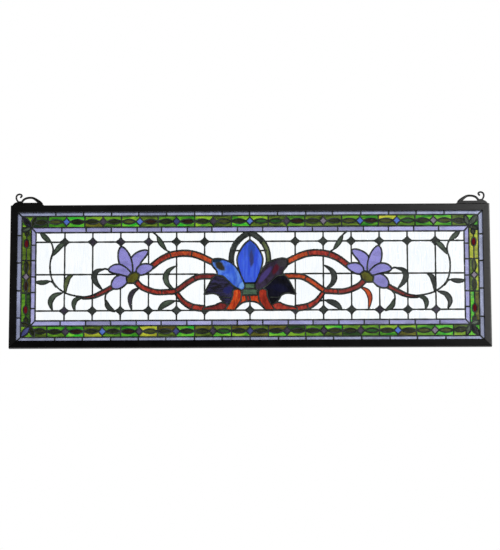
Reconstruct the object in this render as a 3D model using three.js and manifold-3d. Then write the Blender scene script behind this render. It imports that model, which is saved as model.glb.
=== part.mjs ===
// A leaded stained glass transom panel in a mitred metal frame, hung by two metal loops.
// Millimetres, +X to the right, +Z up, the front faces -Y.
// The origin lies midway between the two loops, at the height where a hook bears on them.

import * as THREE from 'three';
import { mergeVertices } from 'three/addons/utils/BufferGeometryUtils.js';
import Module from 'manifold-3d';

const wasm = await Module();
wasm.setup();

// Frame
const panelWidth = 838;
const panelHeight = 254;
const frameFace = 12.7;
const frameDepth = 12.7;
const grooveDepth = 4.2;
const clearance = 0.3;
const cornerReach = 2.5;
const flushTolerance = 0.02;

// Glass and leading
const glassThickness = 3;
const leadDepth = 5;
const leadWidth = 2.4;
const edgeLeadWidth = 3;
const beadWidth = 2.2;

// Visible widths of the border bands, from the frame to the lead that ends each band
const outerBandAcross = 6.5;
const outerBandUpright = 7.4;
const greenBandAcross = 20;
const greenBandUpright = 16.5;
const innerBandAcross = 9.2;
const innerBandUpright = 8.3;

// Pattern repeats of the green band
const diamondPitch = 64.2;
const diamondReach = 7.2;
const jewelPitch = 59;
const jewelWidth = 7;
const jewelHeight = 15;

// Grid of the clear field
const gridStart = 79.1;
const gridPitch = 48.9;
const upperLine = 61.5;
const middleLine = 3.5;
const lowerLine = -61;
const gridDiamondReach = 7.6;

// Vines and hoop
const upperVineWidth = 10;
const middleVineWidth = 7.8;
const lowerVineWidth = 9.5;
const tailVineWidth = 6.5;
const hoopWidth = 8.6;

// Hangers
const loopCentre = 384;
const loopClearHeight = 7;
const loopWire = 3.2;
const loopReach = 17;
const footHeight = 5.4;
const footReachIn = 24;
const footReachOut = 30;
const footTaper = 7;
const scrollWire = 2.5;
const scrollReach = 26;
const scrollHeight = 20.2;
const hangerDepth = 4;

// Sizes that follow from those above
const halfWidth = panelWidth / 2;
const halfHeight = panelHeight / 2;
const bandAcross = outerBandAcross + greenBandAcross + innerBandAcross;
const bandUpright = outerBandUpright + greenBandUpright + innerBandUpright;
const fieldHalfWidth = halfWidth - frameFace - bandUpright;
const fieldHalfHeight = halfHeight - frameFace - bandAcross;
const leadFront = -leadDepth / 2;
const leadBack = leadDepth / 2;
const glassFront = -glassThickness / 2;
const glassBack = glassThickness / 2;
const beadBack = glassFront - clearance;
const hangHeight = halfHeight + clearance + footHeight + loopClearHeight;

// The pattern is drawn on a field of this half size and follows the real field
const drawnHalfWidth = 374.2;
const drawnHalfHeight = 78.6;
const spreadX = fieldHalfWidth / drawnHalfWidth;
const spreadZ = fieldHalfHeight / drawnHalfHeight;

// A closed three.js geometry as a solid that can be joined and cut.
function solidFrom(geometry) {
  geometry.deleteAttribute('normal');
  geometry.deleteAttribute('uv');
  const merged = mergeVertices(geometry, 0.0001);
  const mesh = new wasm.Mesh({
    numProp: 3,
    vertProperties: new Float32Array(merged.attributes.position.array),
    triVerts: new Uint32Array(merged.index.array),
  });
  return new wasm.Manifold(mesh);
}

// The points of an outline, always counterclockwise.
function wound(outline) {
  const points = outline.map(([x, z]) => new THREE.Vector2(x, z));
  return THREE.ShapeUtils.area(points) < 0 ? points.reverse() : points;
}

// A prism on an outline of [x, z] points, from the plane y = front to y = back.
function prism(outline, front, back, hole = null) {
  const shape = new THREE.Shape(wound(outline));
  if (hole) shape.holes.push(new THREE.Path(wound(hole)));
  const geometry = new THREE.ExtrudeGeometry(shape, { depth: back - front, bevelEnabled: false });
  geometry.rotateX(Math.PI / 2);
  geometry.translate(0, back, 0);
  return solidFrom(geometry);
}

const join = (solids) => solids.reduce((whole, next) => whole.add(next));

// Faces that lie flush after the joins become one face.
const flush = (solid) => solid.asOriginal().simplify(flushTolerance);

// A rectangle about the panel's centre.
function rectangle(reachX, reachZ) {
  return [[-reachX, -reachZ], [reachX, -reachZ], [reachX, reachZ], [-reachX, reachZ]];
}

// A four-pointed diamond.
function diamond(x, z, reachX, reachZ) {
  return [[x - reachX, z], [x, z - reachZ], [x + reachX, z], [x, z + reachZ]];
}

// A smooth run of points through a few given ones.
function through(points, steps) {
  const spline = new THREE.SplineCurve(points.map(([x, z]) => new THREE.Vector2(x, z)));
  return spline.getPoints(steps).map((point) => [point.x, point.y]);
}

// Points beside a run, pushed sideways by offset(share of the run); offset to the left is positive.
function beside(run, offset) {
  const last = run.length - 1;
  return run.map(([x, z], index) => {
    const before = run[Math.max(index - 1, 0)];
    const after = run[Math.min(index + 1, last)];
    const alongX = after[0] - before[0];
    const alongZ = after[1] - before[1];
    const length = Math.hypot(alongX, alongZ);
    const push = offset(index / last);
    return [x - (alongZ / length) * push, z + (alongX / length) * push];
  });
}

// A run whose two ends are carried on, straight, by some distance.
function carriedOn(run, distance) {
  const carry = ([x, z], [fromX, fromZ]) => {
    const length = Math.hypot(x - fromX, z - fromZ);
    return [x + ((x - fromX) / length) * distance, z + ((z - fromZ) / length) * distance];
  };
  const last = run.length - 1;
  return [carry(run[0], run[1]), ...run.slice(1, last), carry(run[last], run[last - 1])];
}

// The outline of a strip of even width along a run.
function strip(run, width, over = width / 2) {
  const spine = carriedOn(run, over);
  const left = beside(spine, () => width / 2);
  const right = beside(spine, () => -width / 2);
  return [...left, ...right.reverse()];
}

// The field's own points: shares of the drawn field, mirrored to one side or the other.
const place = (side, points) => points.map(([x, z]) => [side * x * spreadX, z * spreadZ]);

// A leaf or petal has a bent spine and a half width that swells as the sine of the way along it.
// peak is where along the spine it is widest; a low fullness makes the blade rounder.
function blade(points, width, steps = 6, peak = 0.5, fullness = 0.85) {
  const spine = through(points, steps);
  const skew = Math.log(0.5) / Math.log(peak);
  const swell = (share) => (width / 2) * Math.sin(Math.PI * share ** skew) ** fullness;
  const left = beside(spine, (share) => (share < 1 ? swell(share) : 0));
  const right = beside(spine, (share) => -(share < 1 ? swell(share) : 0));
  return [...left, ...right.slice(1, steps).reverse()];
}

// A vine or band of even width along a smooth run.
function ribbon(points, width, steps) {
  return strip(through(points, steps), width, 0);
}

// A closed outline pushed outwards on all its sides, or inwards where the distance is negative.
// Its corners stay mitred, and a long outward point is kept within cornerReach distances.
function grown(outline, distance) {
  const points = wound(outline);
  const count = points.length;
  const outward = (from, to) => {
    const along = to.clone().sub(from).normalize();
    return new THREE.Vector2(along.y, -along.x);
  };
  return points.map((point, index) => {
    const before = outward(points[(index + count - 1) % count], point);
    const after = outward(point, points[(index + 1) % count]);
    const middle = before.clone().add(after).normalize();
    const sharpness = 1 / middle.dot(before);
    const reach = distance > 0 ? Math.min(sharpness, cornerReach) : sharpness;
    const moved = point.clone().add(middle.multiplyScalar(distance * reach));
    return [moved.x, moved.y];
  });
}

// Lead lines: strong ones go through the panel, fine ones are beads on its face.
// Each shape that is laid down hides the lines below it and draws its own edge.
let leading = null;
let leadRoom = null;
let beads = null;
const laid = [];

function strongLine(run, width = leadWidth) {
  const line = prism(strip(run, width), leadFront, leadBack);
  const room = prism(strip(run, width + 2 * clearance), leadFront, leadBack);
  leading = leading ? leading.add(line) : line;
  leadRoom = leadRoom ? leadRoom.add(room) : room;
}

function beadPlate(outline) {
  const plate = prism(outline, leadFront, beadBack);
  beads = beads ? beads.add(plate) : plate;
}

function fineLine(run, width = beadWidth) {
  beadPlate(strip(run, width));
}

function layDown(name, outline) {
  const cover = prism(outline, leadFront - 1, leadBack + 1);
  const edge = (reach) => prism(grown(outline, reach), leadFront, leadBack, grown(outline, -reach));
  beads = beads.subtract(cover);
  leading = leading.subtract(cover).add(edge(leadWidth / 2));
  leadRoom = leadRoom.subtract(cover).add(edge(leadWidth / 2 + clearance));
  laid.push({ name, outline });
}

const sides = [['left', -1], ['right', 1]];
const bothSides = (work) => sides.forEach(([word, side]) => work(word, side));

// Border leads: one rectangle of lead at the edge in the channel, and one at the end of each band.
const edgeInset = frameFace - grooveDepth + clearance;
const outerLine = [halfWidth - frameFace - outerBandUpright, halfHeight - frameFace - outerBandAcross];
const greenLine = [outerLine[0] - greenBandUpright, outerLine[1] - greenBandAcross];
const fieldLine = [fieldHalfWidth, fieldHalfHeight];

function ring([reachX, reachZ], outward, inward, front, back) {
  const outside = rectangle(reachX + outward, reachZ + outward);
  return prism(outside, front, back, rectangle(reachX - inward, reachZ - inward));
}

function borderLeads() {
  const edge = [halfWidth - edgeInset, halfHeight - edgeInset];
  const lines = [ring(edge, 0, edgeLeadWidth, leadFront, leadBack)];
  [outerLine, greenLine, fieldLine].forEach((line) => {
    lines.push(ring(line, leadWidth / 2, leadWidth / 2, leadFront, leadBack));
  });
  return join(lines);
}

function borderRoom() {
  const reach = leadWidth / 2 + clearance;
  return ring(fieldLine, reach, reach, leadFront, leadBack);
}

// Short beads across a band at every pitch along it, on both opposite sides of the border.
function tileJoints(nearLine, farLine, alongX, offsets) {
  const across = alongX ? 1 : 0;
  offsets.forEach((offset) => {
    [-1, 1].forEach((side) => {
      const near = side * nearLine[across];
      const far = side * farLine[across];
      const run = alongX ? [[offset, near], [offset, far]] : [[near, offset], [far, offset]];
      fineLine(run);
    });
  });
}

const evenOffsets = (count, pitch) => {
  const first = (-(count - 1) / 2) * pitch;
  return Array.from({ length: count }, (_, index) => first + index * pitch);
};

function borderBeads() {
  const edgeMiddle = edgeInset + edgeLeadWidth / 2;
  const edge = [halfWidth - edgeMiddle, halfHeight - edgeMiddle];
  tileJoints(outerLine, greenLine, true, evenOffsets(12, diamondPitch));
  tileJoints(outerLine, greenLine, false, evenOffsets(4, jewelPitch));
  const midX = (outerLine[0] + greenLine[0]) / 2;
  const midZ = (outerLine[1] + greenLine[1]) / 2;
  const halfAcross = greenBandAcross / 2;
  const halfUpright = greenBandUpright / 2;
  [-1, 1].forEach((side) => {
    // A row of small diamonds runs along each long band, point to point with its leads.
    evenOffsets(11, diamondPitch).forEach((x) => {
      beadPlate(diamond(x, side * midZ, diamondReach, halfAcross));
    });
    evenOffsets(3, jewelPitch).forEach((z) => {
      const [reachX, reachZ] = z === 0 ? [jewelWidth, jewelWidth] : [jewelWidth / 2, jewelHeight / 2];
      beadPlate(diamond(side * midX, z, Math.max(reachX, halfUpright), reachZ));
    });
    // The corner leaf and the mitre leads of the violet bands.
    [-1, 1].forEach((up) => {
      const outer = [side * outerLine[0], up * outerLine[1]];
      const inner = [side * greenLine[0], up * greenLine[1]];
      const leaf = blade([outer, [(outer[0] + inner[0]) / 2, (outer[1] + inner[1]) / 2], inner], 8, 4);
      beadPlate(leaf);
      fineLine([[side * edge[0], up * edge[1]], outer]);
      fineLine([inner, [side * fieldLine[0], up * fieldLine[1]]]);
    });
  });
}

// The grid of the field: fine uprights, a fine middle line, and the strong upper and lower lines.
const uprights = Array.from({ length: 6 }, (_, index) => gridStart + index * gridPitch);
const hoopFoot = 24;
const budTip = 64.5;
const archCrown = -45.4;

function grid() {
  strongLine([[-fieldHalfWidth, lowerLine * spreadZ], [fieldHalfWidth, lowerLine * spreadZ]]);
  bothSides((word, side) => {
    strongLine(place(side, [[hoopFoot, upperLine], [drawnHalfWidth, upperLine]]));
    fineLine(place(side, [[gridStart + gridPitch / 4, middleLine], [drawnHalfWidth, middleLine]]));
    uprights.forEach((x) => {
      fineLine(place(side, [[x, -drawnHalfHeight], [x, drawnHalfHeight]]));
      [upperLine, lowerLine].forEach((z) => {
        const [[atX, atZ]] = place(side, [[x, z]]);
        beadPlate(diamond(atX, atZ, gridDiamondReach, gridDiamondReach));
      });
    });
  });
  fineLine(place(1, [[0, drawnHalfHeight], [0, budTip]]));
  fineLine(place(1, [[0, archCrown], [0, -drawnHalfHeight]]));
  beadPlate(diamond(0, lowerLine * spreadZ, gridDiamondReach, gridDiamondReach));
}

// Leaves are dark plates on the face; each is a spine of three points and a width.
const leaves = [
  [[362, 79], [359, 70], [350, 61], 9],
  [[323, 60], [331, 52], [344, 37], 10],
  [[375, -9.5], [362, -10.5], [349, -8], 8],
  [[311, 4], [317.5, -8], [320.5, -31], 8],
  [[327, -28], [345, -42], [343, -61], 9],
  [[296, -37], [305, -47], [306, -61], 7.5],
  [[256, 13], [271, 0], [259, -23], 9.5],
  [[252, -44], [246, -54], [237, -63], 7],
  [[193, -21], [206, -36], [206, -62], 7.5],
  [[157, -60], [146, -50], [133, -44], 11],
  [[129, 16], [144, 0], [130, -25], 9],
  [[161, 70], [156, 60], [147, 47], 8.5],
];

// Lead stems join the leaves to the vines, and one long curve sweeps round the outer field.
const stems = [
  [[349, 62], [343, 40], [350, 12], [340, -18], [318, -32], [291, -39]],
  [[351, -8], [345, -10], [339, -18]],
  [[257, 13], [252, 13.5], [245, 11]],
  [[239, -21], [251, -32], [252, -46]],
  [[134, -44], [126, -44.5], [117, -46]],
  [[170, 79], [164, 74], [160, 69]],
  [[148, 49], [144, 45], [136, 41]],
];

function foliage() {
  bothSides((word, side) => {
    stems.forEach((points) => {
      const steps = points.length > 4 ? 9 : 2;
      fineLine(through(place(side, points), steps));
    });
    leaves.forEach(([base, middle, tip, width]) => {
      beadPlate(blade(place(side, [base, middle, tip]), width + beadWidth, 4));
    });
  });
}

// Vines are even bands along smooth runs.
const vines = [
  ['tail_vine', tailVineWidth, 4, [[236, -17], [256, -28], [274, -36], [292, -38.5]]],
  ['lower_vine', lowerVineWidth, 6, [[129, -28], [117, -44.4], [103.5, -53.5], [92.5, -56.4], [79, -58]]],
  ['middle_vine', middleVineWidth, 10,
    [[200, -8], [188, -19.5], [165, -28], [142, -28], [128, -25.6], [106, -10], [88, -1.5], [60, -1]]],
  ['upper_vine', upperVineWidth, 8,
    [[173, 16], [154.8, 30], [138.5, 37.5], [121, 40.5], [103.6, 40], [86.5, 35], [60, 22]]],
];

// Petals of the side flowers: a bent spine from the calyx to the tip, a width, and where it is widest.
const petals = [
  ['petal_inner_top', [[200, 4], [198.5, 29], [178, 45.6]], 19, 0.5],
  ['petal_outer_top', [[208, 2], [218, 28], [225, 53]], 22, 0.5],
  ['petal_outer_low', [[208, -1], [226, -8.5], [240, -21]], 22, 0.55],
  ['petal_outer_side', [[205, 0], [228, 12.5], [247, 11]], 17.5, 0.52],
  ['petal_inner_side', [[197, 4], [186, 12.5], [168.5, 17]], 18.5, 0.48],
];
const calyx = [[215.5, -3], [208, 4.7], [199, 8], [192.5, 3], [195, -6.4], [203, -12.3], [214, -12.3]];

function vinesAndFlowers() {
  bothSides((word, side) => {
    vines.forEach(([name, width, steps, points]) => {
      layDown(`${name}_${word}`, ribbon(place(side, points), width, steps));
    });
    petals.forEach(([name, spine, width, peak]) => {
      layDown(`${name}_${word}`, blade(place(side, spine), width, 6, peak, 0.75));
    });
    layDown(`calyx_${word}`, place(side, calyx));
  });
}

// The centre: scrolls, dark lower petals, hoop, side petals, foot and legs, bud and knot.
const innerScroll = [
  [[82, lowerLine], [80, -56.5], [61, -52], [49.6, -47.4], [34, -52]],
  [[34, -52], [34, lowerLine]],
  [[34, lowerLine], [82, lowerLine]],
];
const lowerPetal = [
  [[20, -6], [50, 2], [62, -1], [68, -9], [80, -33]],
  [[80, -33], [65, -31], [55, -34.5], [50, -42.3], [40, -51]],
  [[40, -51], [20, -44]],
  [[20, -44], [20, -6]],
];
const hoopInset = 1.1;
const hoop = [[5, drawnHalfHeight - hoopInset], [23, 60.4], [30.6, 45], [32.4, 28], [30, 16]];
const sidePetal = [
  [[8, -18], [11, -10], [19.3, 8.5], [30.3, 21.5], [42.4, 28], [55, 31], [65.6, 29.5]],
  [[65.6, 29.5], [65.6, 19], [58.3, 9.2], [57, 1]],
  [[57, 1], [46.8, -1], [38, -9], [30, -17], [21, -23], [11, -28]],
  [[11, -28], [8, -18]],
];
const leg = [
  [[22, -23], [29, -26], [30.3, -36], [35.3, -48], [44, lowerLine]],
  [[44, lowerLine], [27, lowerLine]],
  [[27, lowerLine], [17.2, -46], [15, -37], [15.8, -26], [22, -23]],
];
const footHalf = [[0, archCrown], [9, -46.5], [17, -50.5], [28, lowerLine]];
const footCrest = [[36, lowerLine], [26, -30], [-26, -30], [-36, lowerLine]];
const budHalf = [[0, budTip], [12, 53.5], [22.3, 31], [17.5, 6], [9.5, -13]];
const knotHalf = [[9, -13], [9, -23], [13, -25], [13, -34.5]];
const knotWaist = [[-10, -23], [10, -23]];

// A closed outline from runs that meet end to end, each smooth in itself.
const smooth = (runs) => runs.flatMap((run) => {
  const points = run.length > 2 ? through(run, run.length + 1) : run;
  return points.slice(0, -1);
});

function centre() {
  bothSides((word, side) => {
    const set = (runs) => smooth(runs.map((run) => place(side, run)));
    layDown(`inner_scroll_${word}`, set(innerScroll));
    layDown(`lower_petal_${word}`, set(lowerPetal));
    layDown(`hoop_${word}`, ribbon(place(side, hoop), hoopWidth, 6));
    layDown(`side_petal_${word}`, set(sidePetal));
  });
  const archRight = through(place(1, footHalf), 4);
  const archLeft = through(place(-1, footHalf), 4);
  const arch = [...archLeft.reverse(), ...archRight.slice(1)];
  layDown('foot', [...arch, ...place(1, footCrest)]);
  bothSides((word, side) => {
    layDown(`leg_${word}`, smooth(leg.map((run) => place(side, run))));
  });
  const budRight = through(place(1, budHalf), 7);
  const budLeft = through(place(-1, budHalf), 7).reverse();
  layDown('bud', [...budRight, ...budLeft.slice(0, -1)]);
  layDown('knot', [...place(1, knotHalf), ...place(-1, knotHalf).reverse()]);
  fineLine(place(1, knotWaist));
}

// The lead that joins the hoop to the bud halfway up the clear slivers between them.
const sliverJoint = [[17, 45], [29, 45]];

grid();
foliage();
vinesAndFlowers();
centre();
bothSides((word, side) => fineLine(place(side, sliverJoint)));

// What is drawn in the field ends at the field's own lead, and the border is added round it.
const fieldReach = rectangle(fieldHalfWidth, fieldHalfHeight);
const fieldBlock = prism(fieldReach, leadFront - 1, leadBack + 1);
leading = leading.intersect(fieldBlock).add(borderLeads());
beads = beads.intersect(fieldBlock);
leadRoom = leadRoom.add(borderRoom());
borderBeads();

// Glass: each laid shape less what lies above it and less the room for the leads.
const glass = {};
const wholeField = prism(fieldReach, glassFront, glassBack);
let covered = null;
[...laid].reverse().forEach(({ name, outline }) => {
  const pane = prism(outline, glassFront, glassBack).intersect(wholeField);
  const open = covered ? pane.subtract(covered) : pane;
  const pieces = open.subtract(leadRoom).decompose();
  glass[name] = pieces.reduce((best, next) => (next.volume() > best.volume() ? next : best));
  const cover = prism(outline, leadFront, leadBack);
  covered = covered ? covered.add(cover) : cover;
});

// Clear glass: what is left of the field, each region known by a point inside it.
const topRowMiddle = (upperLine + drawnHalfHeight) / 2;
const bottomRowMiddle = (lowerLine - drawnHalfHeight) / 2;
const clearRegions = [
  ['clear_top_row_left', -200, topRowMiddle],
  ['clear_top_row_right', 200, topRowMiddle],
  ['clear_bottom_row', 100, bottomRowMiddle],
  ['clear_outer_field_left', -300, 20],
  ['clear_outer_field_right', 300, 20],
  ['clear_between_vines_left', -110, 15],
  ['clear_between_vines_right', 110, 15],
  ['clear_scroll_bay_left', -95, -30],
  ['clear_scroll_bay_right', 95, -30],
  ['clear_around_bud', 1.5, (budTip + drawnHalfHeight) / 2],
  ['clear_foot_arch', 8, (archCrown + lowerLine) / 2],
];
const seedReach = 0.5;
const clearBodies = wholeField.subtract(covered).subtract(leadRoom).decompose();
clearRegions.forEach(([name, x, z]) => {
  const [[seedX, seedZ]] = place(1, [[x, z]]);
  const outline = diamond(seedX, seedZ, seedReach, seedReach);
  const seed = prism(outline, glassFront, glassBack);
  glass[name] = clearBodies.find((body) => body.intersect(seed).volume() > 0);
});

// Border glass: one ring for each band, between its two leads.
const grip = leadWidth / 2 + clearance;
const edgeLine = [halfWidth - edgeInset, halfHeight - edgeInset];
const bandGlass = (outer, inner, outerGrip) => {
  const outside = rectangle(outer[0] - outerGrip, outer[1] - outerGrip);
  const inside = rectangle(inner[0] + grip, inner[1] + grip);
  return prism(outside, glassFront, glassBack, inside);
};
glass.outer_violet_border = bandGlass(edgeLine, outerLine, edgeLeadWidth + clearance);
glass.green_ribbon_border = bandGlass(outerLine, greenLine, grip);
glass.inner_violet_border = bandGlass(greenLine, fieldLine, grip);

// Frame: four mitred bars, each with a groove that holds the panel's edge lead.
function frameBars() {
  const face = frameDepth / 2;
  const groove = leadDepth / 2 + clearance;
  const inside = rectangle(halfWidth - frameFace, halfHeight - frameFace);
  const whole = prism(rectangle(halfWidth, halfHeight), -face, face, inside);
  const grooveReach = [halfWidth - frameFace + grooveDepth, halfHeight - frameFace + grooveDepth];
  const channel = whole.subtract(prism(rectangle(...grooveReach), -groove, groove));
  const gap = clearance / 2;
  const deep = frameFace * 2;
  const wide = halfWidth - gap;
  const tall = halfHeight - gap;
  const cuts = {
    frame_top: [[-wide, halfHeight], [-wide + deep, halfHeight - deep],
      [wide - deep, halfHeight - deep], [wide, halfHeight]],
    frame_bottom: [[-wide, -halfHeight], [wide, -halfHeight],
      [wide - deep, deep - halfHeight], [-wide + deep, deep - halfHeight]],
    frame_left: [[-halfWidth, -tall], [deep - halfWidth, deep - tall],
      [deep - halfWidth, tall - deep], [-halfWidth, tall]],
    frame_right: [[halfWidth, -tall], [halfWidth, tall],
      [halfWidth - deep, tall - deep], [halfWidth - deep, deep - tall]],
  };
  const bars = {};
  Object.entries(cuts).forEach(([name, outline]) => {
    bars[name] = channel.intersect(prism(outline, -face - 1, face + 1));
  });
  return bars;
}

// Hanger: a tapered foot on the top bar, an arched loop, and an open scroll that curls up outside it.
function hanger(side) {
  const bottom = halfHeight + clearance;
  const at = (points) => points.map(([x, z]) => [side * (loopCentre + x), bottom + z]);
  const foot = at([[-footReachIn, 0], [footReachOut, 0], [footReachOut - 2, 2.2],
    [footReachOut - footTaper, footHeight], [-footReachIn + footTaper, footHeight]]);
  const crown = footHeight + loopClearHeight + loopWire / 2;
  const arcSteps = 12;
  const archRun = Array.from({ length: arcSteps + 1 }, (_, index) => {
    const turn = (Math.PI * index) / arcSteps;
    return [-loopReach * Math.cos(turn), footHeight / 2 + (crown - footHeight / 2) * Math.sin(turn)];
  });
  const arch = strip(at(archRun), loopWire, 0);
  const curl = [[0.73, 0.22], [0.9, 0.45], [1, 0.7], [0.94, 0.95], [0.75, 1], [0.6, 0.9], [0.57, 0.74]];
  const scrollRun = through(at(curl.map(([x, z]) => [x * scrollReach, z * scrollHeight])), 14);
  const scroll = strip(scrollRun, scrollWire);
  const half = hangerDepth / 2;
  return join([foot, arch, scroll].map((outline) => prism(outline, -half, half)));
}

// Colours and finishes
const finish = (color, roughness, metalness = 0, opacity = 1) => new THREE.MeshStandardMaterial({
  color, roughness, metalness, opacity, transparent: opacity < 1,
});
const frameMetal = finish(0x17181a, 0.45, 0.8);
const leadMetal = finish(0x2e3432, 0.5, 0.7);
const clearGlass = finish(0xeef2fa, 0.08, 0, 0.35);
const glassColours = [
  [/^clear_/, clearGlass],
  [/^outer_violet/, finish(0x9b9bcd, 0.2)],
  [/^inner_violet/, finish(0xa096d7, 0.2)],
  [/^green_ribbon/, finish(0x6f9a32, 0.2)],
  [/^petal_/, finish(0x8c82cd, 0.2)],
  [/^calyx_/, finish(0x5a6420, 0.25)],
  [/^(upper|middle|tail)_vine/, finish(0xb43c23, 0.2)],
  [/^(lower_vine|inner_scroll)/, finish(0x8e2c2c, 0.2)],
  [/^hoop_/, finish(0x44503f, 0.3)],
  [/^bud/, finish(0x3c5ae6, 0.2)],
  [/^side_petal_left/, finish(0x3f6fe0, 0.2)],
  [/^side_petal_right/, finish(0x3a2550, 0.2)],
  [/^lower_petal/, finish(0x1d1c38, 0.25)],
  [/^(leg|foot)/, finish(0xcd4119, 0.2)],
  [/^knot/, finish(0x5a7a5a, 0.25)],
];

const part = new THREE.Group();
part.position.z = -hangHeight;

function addMesh(name, solid, material) {
  const { vertProperties, triVerts } = solid.getMesh();
  const geometry = new THREE.BufferGeometry();
  geometry.setAttribute('position', new THREE.BufferAttribute(new Float32Array(vertProperties), 3));
  geometry.setIndex(new THREE.BufferAttribute(new Uint32Array(triVerts), 1));
  geometry.computeVertexNormals();
  const mesh = new THREE.Mesh(geometry, material);
  mesh.name = name;
  part.add(mesh);
}

Object.entries(frameBars()).forEach(([name, bar]) => addMesh(name, bar, frameMetal));
bothSides((word, side) => addMesh(`hanger_${word}`, hanger(side), frameMetal));
addMesh('leading', flush(leading.add(beads)), leadMetal);
Object.entries(glass).forEach(([name, pane]) => {
  const [, material] = glassColours.find(([pattern]) => pattern.test(name));
  addMesh(name, flush(pane), material);
});

export default part;
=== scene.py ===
# A leaded stained glass transom panel: its glass, leading, frame and hangers, dressed on the frame.
# Lengths are drawn in millimetres on a full-size cartoon and placed in metres by one function.
import math

import bpy
import numpy as np
from mathutils import Matrix, Vector
from mathutils.geometry import delaunay_2d_cdt


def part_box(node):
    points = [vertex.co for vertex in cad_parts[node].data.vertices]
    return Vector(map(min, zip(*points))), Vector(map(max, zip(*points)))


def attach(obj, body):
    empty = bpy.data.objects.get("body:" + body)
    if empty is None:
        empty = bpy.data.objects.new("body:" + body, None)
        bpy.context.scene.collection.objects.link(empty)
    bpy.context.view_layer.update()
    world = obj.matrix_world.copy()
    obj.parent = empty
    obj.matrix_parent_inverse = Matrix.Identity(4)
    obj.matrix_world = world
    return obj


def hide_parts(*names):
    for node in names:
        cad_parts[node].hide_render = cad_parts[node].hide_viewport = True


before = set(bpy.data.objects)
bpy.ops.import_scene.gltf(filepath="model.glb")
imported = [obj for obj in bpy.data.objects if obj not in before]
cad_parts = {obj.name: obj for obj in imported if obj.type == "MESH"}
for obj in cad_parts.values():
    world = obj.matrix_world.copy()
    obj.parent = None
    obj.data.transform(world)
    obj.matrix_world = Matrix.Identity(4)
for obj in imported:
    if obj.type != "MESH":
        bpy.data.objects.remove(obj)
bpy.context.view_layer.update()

MM = 0.001
RANDOM = np.random.default_rng(33)

# Frame and border, as in the solids
HALF_WIDTH = 419.0
HALF_HEIGHT = 127.0
FRAME_FACE = 12.7
FRAME_DEPTH = 12.7
GROOVE_DEPTH = 4.2
GAP = 0.3
OUTER_LINE = np.array([HALF_WIDTH - FRAME_FACE - 7.4, HALF_HEIGHT - FRAME_FACE - 6.5])
GREEN_LINE = OUTER_LINE - (16.5, 20.0)
FIELD = GREEN_LINE - (8.3, 9.2)
EDGE = np.array([HALF_WIDTH, HALF_HEIGHT]) - (FRAME_FACE - GROOVE_DEPTH + GAP)
DRAWN_FIELD = np.array([374.2, 78.6])
SPREAD = FIELD / DRAWN_FIELD

# The panel's middle height in the frame's own metres
MIDDLE = (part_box("frame_top")[1][2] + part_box("frame_bottom")[0][2]) / 2

# Glass and lead
GLASS = 3.0
LEAD_DEPTH = 5.0
LEAD = 3.5
FINE_LEAD = 3.0
BORDER_LEAD = 3.0
STEM_LEAD = 3.4
DIAMOND_LEAD = 2.6
LEAF_LEAD = 2.2
WOBBLE = 0.09
BEAD_SPAN = 7.0
SHORTEST_RUN = 0.8
SOLDER_REACH = 1.75
SOLDER_SPACING = 2.2

# Grid of the clear field and the repeats of the border
GRID_START = 79.1
GRID_PITCH = 48.9
UPPER_LINE = 61.5
MIDDLE_LINE = 3.5
LOWER_LINE = -61.0
GRID_DIAMOND = 8.6
GRID_PINCH = 0.4
OUTER_TILE = (48.5, 49.0)
INNER_TILE = (44.0, 28.2)
DIAMOND_PITCH = 64.2
DIAMOND_REACH = 7.0
UPRIGHT_DIAMOND = (6.2, 7.0)
EYE_GAP = 6.0
EYE_HEIGHT = 8.0
UPRIGHT_EYE = 7.0
FAN_LEAF = 7.5
CORNER_LEAF = 9.5
CORNER_EYE = 9.0
JEWEL_PITCH = 59.0
JEWEL_REACH = (4.0, 7.6)
UPRIGHT_JOINTS = (-88, -29, 29, 88)
# The least and the greatest share of its stain's brightness that a violet tile gets
TILE_SHADES = (0.72, 1.08)


def linear(red, green, blue):
    """A display colour of 0 to 255 as the linear colour that shaders use."""
    values = np.array([red, green, blue]) / 255
    low = values / 12.92
    high = ((values + 0.055) / 1.055) ** 2.4
    return tuple(float(value) for value in np.where(values <= 0.04045, low, high))


def glass(base, wisp):
    """A stain: the pane's own colour and the colour of the wisps that run through it."""
    return linear(*base) + linear(*wisp)


VIOLET_PALE = glass((170, 178, 212), (192, 198, 226))
VIOLET = glass((172, 172, 224), (194, 194, 234))
VIOLET_PETAL = glass((150, 145, 218), (166, 161, 226))
MOSS = glass((72, 98, 32), (122, 154, 48))
LEAF_GREEN = glass((114, 172, 42), (62, 122, 38))
BRIGHT_GREEN = glass((46, 186, 50), (150, 224, 64))
GRASS = glass((38, 140, 34), (112, 190, 42))
LIME = glass((160, 206, 54), (66, 150, 38))
OLIVE = glass((88, 84, 28), (120, 128, 42))
YELLOW = glass((212, 214, 66), (138, 176, 48))
BOTTLE = glass((32, 64, 30), (70, 106, 40))
EYE_DARK = glass((36, 42, 26), (64, 70, 34))
EYE_OLIVE = glass((70, 78, 36), (100, 106, 52))
EYE_GREEN = glass((34, 82, 36), (70, 120, 58))
EYE_RED = glass((46, 24, 20), (66, 42, 30))
BLUE = glass((80, 116, 210), (116, 150, 226))
INDIGO = glass((68, 72, 128), (92, 98, 156))
PLUM = glass((70, 62, 80), (90, 82, 100))
MAUVE = glass((132, 122, 140), (156, 146, 160))
CHARCOAL = glass((52, 57, 54), (78, 84, 80))
CHARCOAL_GREEN = glass((66, 78, 66), (96, 112, 94))
GREY_GREEN = glass((84, 106, 88), (120, 142, 120))
LEAF_OLIVE = glass((88, 100, 64), (122, 134, 88))
VINE_RED = glass((200, 70, 50), (112, 40, 44))
VINE_ORANGE = glass((224, 96, 42), (150, 54, 42))
VINE_BRICK = glass((156, 62, 54), (104, 42, 48))
MAROON = glass((104, 38, 42), (150, 52, 44))
BUD_BLUE = glass((46, 78, 216), (84, 128, 246))
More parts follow.
